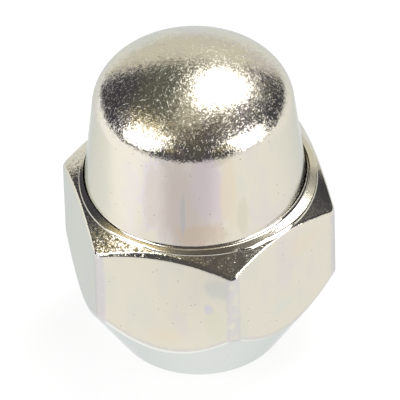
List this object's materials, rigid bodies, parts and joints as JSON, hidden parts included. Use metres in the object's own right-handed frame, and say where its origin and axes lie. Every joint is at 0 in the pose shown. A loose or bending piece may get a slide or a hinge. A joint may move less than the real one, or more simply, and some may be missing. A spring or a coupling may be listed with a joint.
{
  "type": "wheel nut",
  "caption": "Closed-end hexagon wheel nut with a conical seat, a through-threaded body and a drawn dome cap held by a rolled collar.",
  "frame": {"origin": "middle of the seat's small end face, where the nut stands and where the stud enters", "axes": "+Z along the thread's axis, from the seat to the dome; two corners of the hexagon on the X axis, two flats facing +Y and -Y"},
  "size_m": [0.024, 0.021, 0.0295],
  "materials": {
    "plated_forging": "cold-forged steel, zinc plated with a pale yellow passivation, satin",
    "plated_sheet": "drawn steel sheet, zinc plated with a pale yellow passivation, half bright"
  },
  "bodies": {
    "root": {"nut_body": "plated_forging", "cap": "plated_sheet"}
  },
  "joints": []
}
